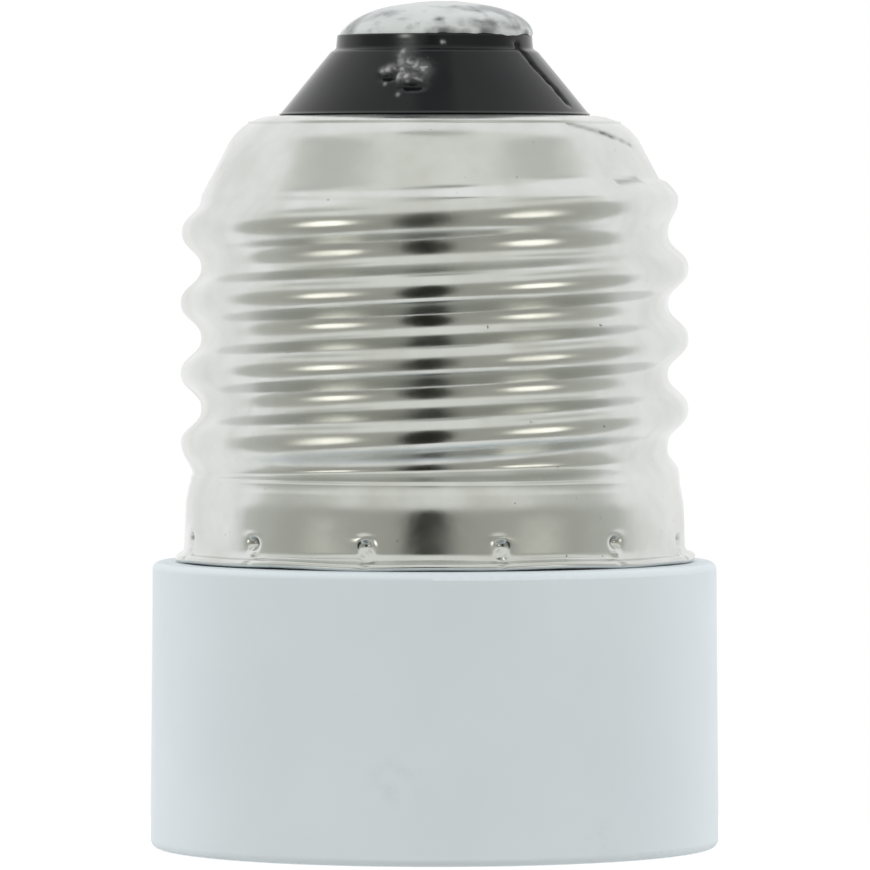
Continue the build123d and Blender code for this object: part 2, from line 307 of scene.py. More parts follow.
class Shader(NodeGraph):
    """One material's node tree, on a Principled surface."""

    def __init__(self, name: str) -> None:
        """Starts a material with a plain surface.

        Args:
            name: The material's name.
        """
        self.material = bpy.data.materials.new(name)
        self.material.use_nodes = True
        super().__init__(self.material.node_tree)
        self.surface = self.node("ShaderNodeBsdfPrincipled")
        output = self.node("ShaderNodeOutputMaterial")
        self.link(self.surface.outputs["BSDF"], output.inputs["Surface"])
        self.place = self.node("ShaderNodeTexCoord").outputs["Object"]

    def set(self, **values: float) -> None:
        """Sets constants on the surface's own sockets.

        Args:
            values: The constants, each by its socket's name.
        """
        for key, value in values.items():
            self.surface.inputs[key].default_value = value

    def drive(self, socket: str, source: Socket) -> None:
        """Joins a source to one of the surface's sockets.

        Args:
            socket: The socket's name.
            source: The source.
        """
        self.link(source, self.surface.inputs[socket])

    def noise(self, per_mm: float, detail: float = 4, stretch: Sequence[float] = (1, 1, 1)) -> Socket:
        """Makes a noise field on the piece.

        Args:
            per_mm: Lumps to a millimetre.
            detail: How many finer layers the noise has.
            stretch: Scale along each axis.

        Returns:
            The field's value socket.
        """
        mapping = self.node("ShaderNodeMapping")
        mapping.inputs["Scale"].default_value = [per_mm / MM * factor for factor in stretch]
        self.link(self.place, mapping.inputs["Vector"])
        texture = self.node("ShaderNodeTexNoise")
        texture.inputs["Scale"].default_value = 1
        texture.inputs["Detail"].default_value = detail
        self.link(mapping.outputs["Vector"], texture.inputs["Vector"])
        return texture.outputs["Fac"]

    def near(self, point: Sequence[float], reach: float) -> Socket:
        """Makes a soft spot of value 1 at a point of the piece.

        Args:
            point: The spot's centre.
            reach: Where the spot has faded to 0.

        Returns:
            The spot's value socket.
        """
        distance = self.node("ShaderNodeVectorMath", operation="DISTANCE")
        self.link(self.place, distance.inputs[0])
        distance.inputs[1].default_value = [value * MM for value in point]
        return self.spread(distance.outputs["Value"], (0, reach * MM), (1, 0))

    def painted(self, name: str) -> Socket:
        """Reads one of the piece's own attributes.

        Args:
            name: The attribute's name.

        Returns:
            The socket of the value that it holds at each point.
        """
        return self.node("ShaderNodeAttribute", attribute_name=name).outputs["Fac"]

    def relief(self, height: Socket, depth: float, strength: float) -> None:
        """Gives the surface a fine relief.

        Args:
            height: The relief's height field.
            depth: Millimetres from its lowest to its highest point.
            strength: Share of the relief that shows.
        """
        bump = self.node("ShaderNodeBump")
        bump.inputs["Strength"].default_value = strength
        bump.inputs["Distance"].default_value = depth * MM
        self.link(height, bump.inputs["Height"])
        self.drive("Normal", bump.outputs["Normal"])


@dataclass(frozen=True)
class NickelPlate:
    """Bright nickel on rolled sheet, a little dulled, with painted shade in its dents and dark specks."""

    name: str = "bright_nickel"
    metal: Colour = (0.715, 0.73, 0.715)
    cloudy: Colour = (0.645, 0.655, 0.63)
    # colour of the painted shade in the punch marks and creases, and of the dark specks
    soil_and_shade: Colour = (0.1, 0.095, 0.075)
    roughness: Span = (0.16, 0.27)
    clouds_per_mm: float = 0.35
    cloud_span: Span = (0.35, 0.68)
    specks_per_mm: float = 3.1
    speck_span: Span = (0.75, 0.79)
    speck_most: float = 0.7
    skin_per_mm: float = 1.3
    skin_depth: float = 0.012
    skin_share: float = 0.35

    def material(self) -> bpy.types.Material:
        """Makes the plate's material.

        Returns:
            The material.
        """
        shader = Shader(self.name)
        cloud = shader.spread(shader.noise(self.clouds_per_mm), self.cloud_span, WHOLE)
        specks = shader.noise(self.specks_per_mm, detail=2)
        speck = shader.spread(specks, self.speck_span, (0, self.speck_most))
        # painted shade from the shell's punch marks and creases, added to random dark specks
        shade_and_specks = shader.maths("ADD", shader.painted("soil_and_shade"), speck)
        colour = shader.blend(cloud, self.metal, self.cloudy)
        shader.drive("Base Color", shader.blend(shade_and_specks, colour, self.soil_and_shade))
        shader.drive("Roughness", shader.spread(cloud, WHOLE, self.roughness))
        shader.set(Metallic=1.0)
        shader.relief(shader.noise(self.skin_per_mm, detail=5), self.skin_depth, self.skin_share)
        return shader.material


@dataclass(frozen=True)
class BlackGlass:
    """Opaque black insulator glass, fire polished, with a torn scar, painted glints and a dull line."""

    name: str = "black_insulator_glass"
    body: Colour = (0.0065, 0.007, 0.009)
    scuffed: Colour = (0.115, 0.116, 0.124)
    # colour of the painted glints on the scar and under the rim
    painted_glint: Colour = (0.62, 0.63, 0.64)
    polish: Span = (0.12, 0.2)
    torn_extra: float = 0.21
    dull_extra: float = 0.6
    ior: float = 1.36
    haze_per_mm: float = 0.5
    skin_per_mm: float = 0.9
    skin_depth: float = 0.02
    skin_share: float = 0.25

    def material(self) -> bpy.types.Material:
        """Makes the glass's material.

        Returns:
            The material.
        """
        shader = Shader(self.name)
        scar = shader.painted("scar")
        colour = shader.blend(scar, self.body, self.scuffed)
        # painted glints: small bright spots mixed into the base colour
        shader.drive("Base Color", shader.blend(shader.painted("painted_glint"), colour, self.painted_glint))
        haze = shader.spread(shader.noise(self.haze_per_mm), NOISE_MIDDLE, self.polish)
        matt = shader.spread(shader.painted("dull"), WHOLE, (0, self.dull_extra))
        torn = shader.spread(scar, WHOLE, (0, self.torn_extra))
        shader.drive("Roughness", shader.maths("ADD", shader.maths("ADD", haze, matt), torn))
        shader.set(IOR=self.ior)
        shader.relief(shader.noise(self.skin_per_mm, detail=3), self.skin_depth, self.skin_share)
        return shader.material


@dataclass(frozen=True)
class FrostySolder:
    """Cooled solder with a frosty skin, dark pits and grey flux patches."""

    name: str = "frosty_solder"
    frost: Colour = (0.62, 0.645, 0.66)
    grey: Colour = (0.3, 0.315, 0.325)
    pit: Colour = (0.09, 0.095, 0.1)
    roughness: Span = (0.5, 0.36)
    metallic: float = 0.15
    patches_per_mm: float = 0.55
    patch_span: Span = (0.5, 0.64)
    pits_per_mm: float = 1.6
    pit_span: Span = (0.63, 0.72)
    skin_per_mm: float = 2.2
    skin_depth: float = 0.06
    skin_share: float = 0.6

    def material(self) -> bpy.types.Material:
        """Makes the solder's material.

        Returns:
            The material.
        """
        shader = Shader(self.name)
        patch = shader.spread(shader.noise(self.patches_per_mm, detail=6), self.patch_span, WHOLE)
        pits = shader.spread(shader.noise(self.pits_per_mm), self.pit_span, WHOLE)
        dirt = shader.maths("ADD", shader.painted("soil_and_shade"), shader.maths("MULTIPLY", pits, patch))
        colour = shader.blend(patch, self.frost, self.grey)
        shader.drive("Base Color", shader.blend(dirt, colour, self.pit))
        shader.drive("Roughness", shader.spread(patch, WHOLE, self.roughness))
        shader.set(Metallic=self.metallic)
        shader.relief(shader.noise(self.skin_per_mm, detail=6), self.skin_depth, self.skin_share)
        return shader.material


@dataclass(frozen=True)
class WhiteMoulding:
    """Satin white moulded plastic with a fine skin and two faint grey smudges.

    The smudges are given by their centres and reaches.
    """

    name: str = "satin_white_moulding"
    white: Colour = (0.735, 0.797, 0.868)
    tint: Colour = (0.7, 0.767, 0.84)
    smudge: Colour = (0.5, 0.54, 0.55)
    smudges: tuple[tuple[Point, float], ...] = (((-2.0, -14.4, 4.2), 1.7), ((8.3, -12.0, 1.1), 1.4))
    roughness: Span = (0.4, 0.52)
    ior: float = 1.46
    clouds_per_mm: float = 0.12
    rubs_per_mm: float = 1.1
    rub_span: Span = (0.45, 0.75)
    rub_most: float = 0.35
    gloss_per_mm: float = 0.8
    skin_per_mm: float = 6.0
    skin_depth: float = 0.01
    skin_share: float = 0.25

    def material(self) -> bpy.types.Material:
        """Makes the moulding's material.

        Returns:
            The material.
        """
        shader = Shader(self.name)
        cloud = shader.spread(shader.noise(self.clouds_per_mm), NOISE_MIDDLE, WHOLE)
        colour = shader.blend(cloud, self.white, self.tint)
        rubbed = shader.spread(shader.noise(self.rubs_per_mm), self.rub_span, (0, self.rub_most))
        for centre, reach in self.smudges:
            share = shader.maths("MULTIPLY", shader.near(centre, reach), rubbed)
            colour = shader.blend(share, colour, self.smudge)
        shader.drive("Base Color", colour)
        gloss = shader.noise(self.gloss_per_mm)
        shader.drive("Roughness", shader.spread(gloss, NOISE_MIDDLE, self.roughness))
        shader.set(IOR=self.ior)
        shader.relief(shader.noise(self.skin_per_mm, detail=3), self.skin_depth, self.skin_share)
        return shader.material


@dataclass(frozen=True)
class PlainMetal:
    """Sheet or drawn metal of an inner piece, with soft clouding and fine scratches."""

    name: str
    clean: Colour
    stained: Colour
    roughness: Span = (0.22, 0.38)
    clouds_per_mm: float = 0.7
    cloud_span: Span = (0.35, 0.7)
    scratches_per_mm: float = 5.0
    scratch_depth: float = 0.01
    scratch_share: float = 0.3
    stretch: tuple[float, float, float] = (1, 1, 1)

    def material(self) -> bpy.types.Material:
        """Makes the metal's material.

        Returns:
            The material.
        """
        shader = Shader(self.name)
        cloud = shader.spread(shader.noise(self.clouds_per_mm, detail=5), self.cloud_span, WHOLE)
        shader.drive("Base Color", shader.blend(cloud, self.clean, self.stained))
        shader.drive("Roughness", shader.spread(cloud, WHOLE, self.roughness))
        shader.set(Metallic=1.0)
        scratches = shader.noise(self.scratches_per_mm, detail=3, stretch=self.stretch)
        shader.relief(scratches, self.scratch_depth, self.scratch_share)
        return shader.material


@dataclass(frozen=True)
class LeadSleeve:
    """Extruded sleeve of a lead, with a slightly uneven skin."""

    name: str
    colour: Colour
    pale: Colour
    roughness: Span = (0.38, 0.55)
    clouds_per_mm: float = 0.9
    gloss_per_mm: float = 2.0
    skin_per_mm: float = 4.0
    skin_depth: float = 0.015
    skin_share: float = 0.4

    def material(self) -> bpy.types.Material:
        """Makes the sleeve's material.

        Returns:
            The material.
        """
        shader = Shader(self.name)
        shader.drive("Base Color", shader.blend(shader.noise(self.clouds_per_mm), self.colour, self.pale))
        gloss = shader.noise(self.gloss_per_mm)
        shader.drive("Roughness", shader.spread(gloss, NOISE_MIDDLE, self.roughness))
        shader.relief(shader.noise(self.skin_per_mm), self.skin_depth, self.skin_share)
        return shader.material


Finish = NickelPlate | BlackGlass | FrostySolder | WhiteMoulding | PlainMetal | LeadSleeve


@dataclass
class RingStack:
    """A turned piece, modelled as a tube whose rings are set one by one on its outline.

    Attributes:
        name: The piece's name.
        angles: The angle of each upright line of points, in radians.
        outline: Radius and height of each ring.
        shape: Gives the points their last radii and heights, and the piece's painted fields.
        closed: Whether the last ring joins the first one; otherwise both ends run to the axis.
        blank: Radius and height of the tube before its rings are set.
        level_gap: Least height between two rings of the tube.
        double_gap: Distance under which two points are one.
    """

    name: str
    angles: Field
    outline: Field
    shape: Callable[[Field, Field, Field, Field], Shaped]
    closed: bool = True
    blank: float = 10.0
    level_gap: float = 0.005
    double_gap: float = 0.0005

    def build(self) -> bpy.types.Object:
        """Models the piece.

        Returns:
            The new object, at the origin, with its place in its mesh.
        """
        bpy.ops.object.select_all(action="DESELECT")
        bpy.ops.mesh.primitive_cylinder_add(
            vertices=len(self.angles), radius=self.blank * MM, depth=self.blank * MM, end_fill_type="NOTHING"
        )
        piece = bpy.context.object
        piece.name = piece.data.name = self.name
        self.cut_rings(piece)
        self.place_rings(piece)
        self.close()
        return piece

    def cut_rings(self, piece: bpy.types.Object) -> None:
        """Subdivides the tube's upright edges, until it has a ring for each point of the outline.

        One call makes no more than 100 cuts, so half the bands are cut first and then halved.

        Args:
            piece: The tube.
        """
        bands = len(self.outline) - 1
        first = (bands + 1) // 2
        bpy.ops.object.mode_set(mode="EDIT")
        bpy.ops.mesh.select_mode(type="EDGE")
        self.select_bands(piece, self.blank * MM)
        bpy.ops.mesh.subdivide(number_cuts=first - 1)
        self.select_bands(piece, self.blank * MM * (bands - first) / first)
        bpy.ops.mesh.subdivide(number_cuts=1)
        log.info("%s: %d bands", piece.name, bands)
        bpy.ops.object.mode_set(mode="OBJECT")

    def select_bands(self, piece: bpy.types.Object, top_m: float) -> None:
        """Selects the upright edges of the tube's lowest part.

        Args:
            piece: The tube, in edit mode.
            top_m: Height of the part, in metres.
        """
        bpy.ops.mesh.select_all(action="DESELECT")
        mesh = bmesh.from_edit_mesh(piece.data)
        for edge in mesh.edges:
            low, high = sorted(vert.co.z for vert in edge.verts)
            upright = high - low > self.level_gap * MM
            edge.select_set(upright and (low + high) / 2 + self.blank / 2 * MM < top_m)
        bmesh.update_edit_mesh(piece.data)

    def place_rings(self, piece: bpy.types.Object) -> None:
        """Sets each ring on the outline, with the piece's own shaping and painted fields.

        Args:
            piece: The tube, with all its rings.
        """
        count = len(piece.data.vertices)
        points = np.zeros(count * 3)
        piece.data.vertices.foreach_get("co", points)
        points = points.reshape(-1, 3)
        line = np.rint(np.arctan2(points[:, 1], points[:, 0]) / TAU * len(self.angles)).astype(int)
        levels = np.sort(points[:, 2])
        levels = levels[np.append(True, np.diff(levels) > self.level_gap * MM)]
        ring = np.searchsorted(levels, points[:, 2] - self.level_gap * MM)
        angle = self.angles[line % len(self.angles)]
        radius, height, fields = self.shape(angle, self.outline[ring, 0], self.outline[ring, 1], ring)
        x_shift = fields.pop("x_shift", np.zeros(count))
        placed = np.stack([radius * np.cos(angle) + x_shift, radius * np.sin(angle), height], axis=1)
        piece.data.vertices.foreach_set("co", (placed * MM).ravel())
        for name, values in fields.items():
            attribute = piece.data.attributes.new(name, "FLOAT", "POINT")
            attribute.data.foreach_set("value", np.clip(values, 0, 1).astype(np.float32))

    def close(self) -> None:
        """Joins the open ends, merges doubles and turns the faces outwards."""
        bpy.ops.object.mode_set(mode="EDIT")
        bpy.ops.mesh.select_mode(type="EDGE")
        bpy.ops.mesh.select_all(action="DESELECT")
        if self.closed:
            bpy.ops.mesh.select_non_manifold(
                extend=False, use_wire=False, use_multi_face=False, use_verts=False
            )
            bpy.ops.mesh.bridge_edge_loops()
        bpy.ops.mesh.select_all(action="SELECT")
        bpy.ops.mesh.remove_doubles(threshold=self.double_gap * MM)
        bpy.ops.mesh.normals_make_consistent(inside=False)
        bpy.ops.object.mode_set(mode="OBJECT")


def select_only(piece: bpy.types.Object) -> None:
    """Makes a piece the one selected object and the active one.

    Args:
        piece: The piece.
    """
    bpy.ops.object.select_all(action="DESELECT")
    piece.select_set(True)
    bpy.context.view_layer.objects.active = piece


def give_finish(piece: bpy.types.Object, finish: Finish, node: str, crease: float) -> None:
    """Smooths a modelled piece, gives it its finish and sets it in place of its solid.

    Args:
        piece: The piece.
        finish: Its finish.
        node: The solid it stands for.
        crease: Degrees between two faces, above which their edge stays sharp.
    """
    select_only(piece)
    bpy.ops.object.shade_smooth_by_angle(angle=math.radians(crease))
    piece.data.materials.clear()
    piece.data.materials.append(finish.material())
    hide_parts(node)
    log.info("%s: %d faces", piece.name, len(piece.data.polygons))


def crowded_angles(base: int, spots: Sequence[float], reach: float, extra: int) -> Field:
    """Spaces angles round a piece, closer together near some spots.

    Args:
        base: How many even angles there are.
        spots: The spots' angles, in degrees.
        reach: How far the crowding goes from a spot, in degrees.
        extra: How many angles each spot adds.

    Returns:
        The angles in radians, rising from 0 to a whole turn.
    """
    even = np.linspace(-180, 180, base, endpoint=False)
    for spot in spots:
        even = even[np.abs((even - spot + 180) % 360 - 180) > reach]
    near = [np.linspace(spot - reach, spot + reach, extra) for spot in spots]
    every = np.sort(np.concatenate([even, *near]) % 360)
    return np.radians(every)


@dataclass(frozen=True)
class Scratch:
    """A soft line on the crown.

    Attributes:
        start: Its first end, as degrees and height.
        end: Its other end.
        width: Its half width.
        depth: Its depth.
        arm: The crown's radius there, which turns degrees into millimetres.
    """

    start: tuple[float, float]
    end: tuple[float, float]
    width: float
    depth: float
    arm: float = 10.3

    def on(self, angle: Field, height: Field) -> Field:
        """Reads the line at points of the crown.

        Args:
            angle: Angles of the points.
            height: Heights of the points.

        Returns:
            1 on the line, falling to 0 beside it.
        """
        x = turn_from(angle, math.radians(self.start[0])) * self.arm
        z = height - self.start[1]
        along = (math.radians(self.end[0] - self.start[0]) * self.arm, self.end[1] - self.start[1])
        share = np.clip((x * along[0] + z * along[1]) / math.hypot(*along) ** 2, 0, 1)
        away = np.hypot(x - share * along[0], z - share * along[1])
        return bell(away, self.width)


@dataclass(frozen=True)
class PunchMarks:
    """The marks that hold the shell on the collar: dimples, each with a burr above and a nub below.

    Each mark is a little off its place, which the seed settles. The upper half of each dimple and the notch
    under it are darkened with painted shade.
    """

    count: int = 12
    height: float = 15.95
    arm: float = 12.9
    seed: int = 7
    slip: float = 0.1
    sink: float = 0.06
    depth: float = 0.26
    depth_spread: float = 0.06
    wide: float = 0.33
    tall: float = 0.32
    steepness: float = 1.2
    middle: float = 0.04
    burr: Spot = Spot(0.0, 0.46, 0.42, 0.16, 0.07)
    burr_slip: float = 0.12
    nub: Spot = Spot(0.0, -0.5, 0.27, 0.17, 0.15)
    notch: Spot = Spot(0.0, 15.0, 0.2, 0.16, 0.1)
    # painted shade in the upper half of each dimple and in the notch below it
    dimple_shade: float = 0.5
    shade_above: float = 0.05
    notch_shade: float = 3.0

    def angles(self) -> list[float]:
        """Lists the marks' angles.

        Returns:
            The angles in degrees.
        """
        return [360 / self.count * (index + 0.5) for index in range(self.count)]

    def on(self, angle: Field, height: Field) -> tuple[Field, Field]:
        """Reads the marks at points of the skirt.

        Args:
            angle: Angles of the points.
            height: Heights of the points.

        Returns:
            What the marks add to the radius, and the painted shade in them.
        """
        step = TAU / self.count
        number = np.rint((angle - step / 2) / step).astype(int)
        lot = np.random.default_rng(self.seed)
        slip, push, lean = (lot.uniform(-1, 1, self.count)[number % self.count] for _ in range(3))
        across = (angle - step / 2 - number * step) * self.arm + self.slip * slip
        up = height - self.height - self.sink * lean
        away = (across / self.wide) ** 2 + ((up - self.middle) / self.tall) ** 2
        dimple = (self.depth + self.depth_spread * push) * np.exp(-(away**self.steepness))
        burr = self.burr.on(across - self.burr_slip * lean, up)
        nub = self.nub.on(across, up)
        notch = self.notch.on(across, height)
        # painted shade: darker in the dimple's upper half and in the notch
        soil_and_shade = self.dimple_shade * dimple / self.depth * (up > self.shade_above) + self.notch_shade * notch
        return burr + nub - dimple - notch, soil_and_shade


@dataclass
class ScrewShell:
    """The nickel plated cap: flared lip, punched skirt, rolled round thread and rounded crown."""

    sheet: float = 0.3
    lip: tuple[tuple[float, float], ...] = (
        (12.6, 14.7), (13.0, 14.7), (13.26, 14.7), (13.36, 14.725), (13.43, 14.79), (13.45, 14.88),
        (13.43, 14.97), (13.37, 15.05), (13.27, 15.1), (13.16, 15.14), (13.06, 15.2), (12.98, 15.29),
        (12.93, 15.41),
    )
    lip_top: Span = (15.0, 15.5)
    lip_radius: float = 12.8
    lip_inset: float = 0.06
    lip_lift: float = 0.04
    lip_waves: tuple[tuple[float, int, float], ...] = ((0.035, 3, 0.7), (0.03, 7, 2.1), (0.02, 16, 0.0))
    lift_waves: tuple[tuple[float, int, float], ...] = ((0.03, 5, 1.0), (0.025, 11, 0.4))
    skirt_radius: float = 12.9
    skirt_foot: float = 14.75
    skirt_end: float = 18.8
    skirt_top: float = 19.05
    punched_rings: tuple[float, float, float] = (15.52, 16.7, 0.09)
    plain_rings: tuple[float, float, float] = (16.8, 18.75, 0.15)
    lean_slope: float = 0.027
    lean_foot: float = 15.5
    shoulder_slope: float = 0.18
    shoulder_foot: float = 17.75
    shoulder_round: float = 0.25
    crest_radius: float = 13.07
    root_radius: float = 12.02
    pitch: float = 3.629
    crest_start: float = 18.92
    flank: float = 0.06
    crest_rise: Span = (18.8, 20.9)
    groove_rise: Span = (18.3, 20.5)
    crest_fade: Span = (30.9, 35.9)
    lower_form: Span = (22.5, 24.0)
    corner_drop: float = 0.3
    run_in_drop: float = 0.33
    run_in_slope: float = 0.9
    run_in_round: float = 0.06
    thread_foot: float = 18.85
    thread_step: float = 0.115
    crown_foot: float = 33.5
    crown_top: float = 37.63
    crown_taper: float = 27.5
    crown_round: float = 2.8
    crown_span: Span = (33.2, 34.6)
    hole_radius: float = 7.6
    bore_radius: float = 11.65
    marks: PunchMarks = PunchMarks()
    scratches: tuple[Scratch, ...] = (
        Scratch((-46, 37.2), (-30, 36.55), 0.13, 0.07),
        Scratch((-34, 36.75), (-20, 36.1), 0.1, 0.05),
        Scratch((-38, 34.2), (-27, 34.35), 0.12, 0.05),
    )
    # painted shade along the crown's creases
    scratch_shade: float = 0.55
    finish: NickelPlate = NickelPlate()

    def cone(self, height: Field) -> Field:
        """Measures the crown's cone.

        Args:
            height: Heights on the cone.

        Returns:
            Its radius at each height.
        """
        return self.root_radius - (height - self.crown_foot) * math.tan(math.radians(self.crown_taper))

    def crown(self) -> Outline:
        """Draws the crown's cone, its rounding and the rim of its hole.

        Returns:
            Radius and height of each ring.
        """
        taper = math.radians(self.crown_taper)
        corner = float(self.cone(np.array(self.crown_top)))
        reach = self.crown_round * math.tan((math.pi / 2 - taper) / 2)
        top = self.crown_top - reach * math.cos(taper)
        cone = [(float(self.cone(np.array(z))), z) for z in np.linspace(self.crown_foot + 0.9, top, 11)]
        centre = (corner - reach, self.crown_top - self.crown_round)
        arc = [
            (centre[0] + self.crown_round * math.cos(turn), centre[1] + self.crown_round * math.sin(turn))
            for turn in np.linspace(taper, math.pi / 2, 14)[1:]
        ]
        rim = [(self.hole_radius + 0.12, self.crown_top), (self.hole_radius, self.crown_top - 0.1)]
        return cone + arc + rim

    def inner(self) -> Outline:
        """Draws the inside, from the hole down to the lip.

        Returns:
            Radius and height of each ring.
        """
        ceiling = self.crown_top - self.sheet
        crown = [(self.hole_radius, ceiling), (9.6, ceiling), (10.25, 36.1)]
        bore = [(self.bore_radius, 33.3), (self.bore_radius, 19.9), (12.6, self.skirt_end)]
        return crown + bore

    def outline(self) -> Field:
        """Draws the whole shell, up the outside and down the inside.

        Returns:
            Radius and height of each ring.
        """
        skirt = [(self.skirt_radius, z) for z in np.arange(*self.punched_rings)]
        skirt += [(self.skirt_radius, z) for z in np.arange(*self.plain_rings)]
        heights = np.arange(self.thread_foot, self.crown_foot + 0.8, self.thread_step)
        thread = [(self.root_radius, z) for z in heights]
        return np.array(list(self.lip) + skirt + thread + self.crown() + self.inner())

    def threaded(self, angle: Field, height: Field) -> Field:
        """Measures the rolled thread, which fades into the skirt and under the crown.

        Args:
            angle: Angles of the points.
            height: Heights of the points.

        Returns:
            The radius at each point.
        """
        phase = TAU * (height - self.crest_start) / self.pitch - angle
        form = 0.5 + 0.5 * (np.cos(phase) - self.flank * np.cos(3 * phase)) / (1 - self.flank)
        turn = angle / TAU
        crest_height = self.crest_start + self.pitch * (turn + np.rint(phase / TAU))
        groove_height = self.crest_start + self.pitch * (turn + np.floor(phase / TAU) + 0.5)
        depth = self.crest_radius - self.root_radius
        corner = self.skirt_radius - self.corner_drop
        crest_line = corner + (self.crest_radius - corner) * ease(height, *self.crest_rise)
        low = crest_line - depth * (1 - form) * ease(groove_height, *self.groove_rise)
        above_skirt = np.maximum(height - self.skirt_top, 0)
        run_in = self.skirt_radius - self.run_in_drop - self.run_in_slope * above_skirt
        low = larger(low, run_in, self.run_in_round)
        core = np.minimum(self.root_radius, self.cone(height))
        high = core + depth * form * (1 - ease(crest_height, *self.crest_fade))
        share = ease(height, *self.lower_form)
        return low * (1 - share) + high * share

    def leaned(self, height: Field) -> Field:
        """Measures how far the skirt leans in towards its shoulder.

        Args:
            height: Heights of the points.

        Returns:
            What to take off the radius.
        """
        lean = self.lean_slope * np.maximum(height - self.lean_foot, 0)
        return lean + self.shoulder_slope * larger(height - self.shoulder_foot, 0.0, self.shoulder_round)

    def waved(self, angle: Field, radius: Field, height: Field, inside: Field) -> tuple[Field, Field]:
        """Makes the lip uneven.

        Args:
            angle: Angles of the points.
            radius: Radii of the points.
            height: Heights of the points.
            inside: Which points are inside the shell.

        Returns:
            The new radii and heights.
        """
        lipped = 1 - ease(height, *self.lip_top)
        wave = ripple(angle, self.lip_waves)
        radius = radius + np.where(inside, 0, lipped * (wave - self.lip_inset) * (radius > self.lip_radius))
        lift = ripple(angle, self.lift_waves) + self.lip_lift
        return radius, height + np.where(inside | (radius < self.lip_radius), 0, lipped * lift)

    def shaped(self, angle: Field, radius: Field, height: Field, ring: Field) -> Shaped:
        """Adds the thread, the punch marks, the uneven lip and the dents to the plain outline.

        Args:
            angle: Angles of the points.
            radius: Radii of the plain outline.
            height: Heights of the plain outline.
            ring: Ring numbers, from the lip's underside.

        Returns:
            Radii, heights and the painted fields.
        """
        inside = ring >= len(self.outline()) - len(self.inner())
        x, y = radius * np.cos(angle), radius * np.sin(angle)
        banded = (height > self.skirt_end) & (height < self.crown_foot + 0.85) & ~inside
        radius = np.where(banded, self.threaded(angle, height), radius)
        skirted = (height <= self.skirt_end) & ~inside
        radius = radius - np.where(skirted, self.leaned(height), 0)

        # the punch marks bring painted shade in their dimples and notches
        pressed, pressed_shade = self.marks.on(angle, height)
        outer = skirted & (height > self.skirt_foot)
        radius = radius + np.where(outer, pressed, 0)
        soil_and_shade = np.where(outer, pressed_shade, 0)
        radius, height = self.waved(angle, radius, height, inside)

        dents = 0.02 * grain(x, y, height, 4.5, 3.1) + 0.008 * grain(x, y, height, 1.6, 8.3)
        radius = radius + np.where(inside, 0, dents * (0.35 + 1.4 * ease(height, *self.crown_span)))
        # each crease is pressed in and darkened with painted shade
        for scratch in self.scratches:
            groove = scratch.on(angle, height)
            radius = radius - np.where(inside, 0, scratch.depth * groove)
            soil_and_shade = soil_and_shade + np.where(inside, 0, self.scratch_shade * groove)
        return radius, height, {"soil_and_shade": soil_and_shade}

    def build(self) -> None:
        """Models the shell and sets it in place."""
        angles = crowded_angles(340, self.marks.angles(), 3.0, 13)
        piece = RingStack("rolled_screw_shell", angles, self.outline(), self.shaped).build()
        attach(piece, Body.ADAPTER.value)
        give_finish(piece, self.finish, "screw_shell", crease=50)


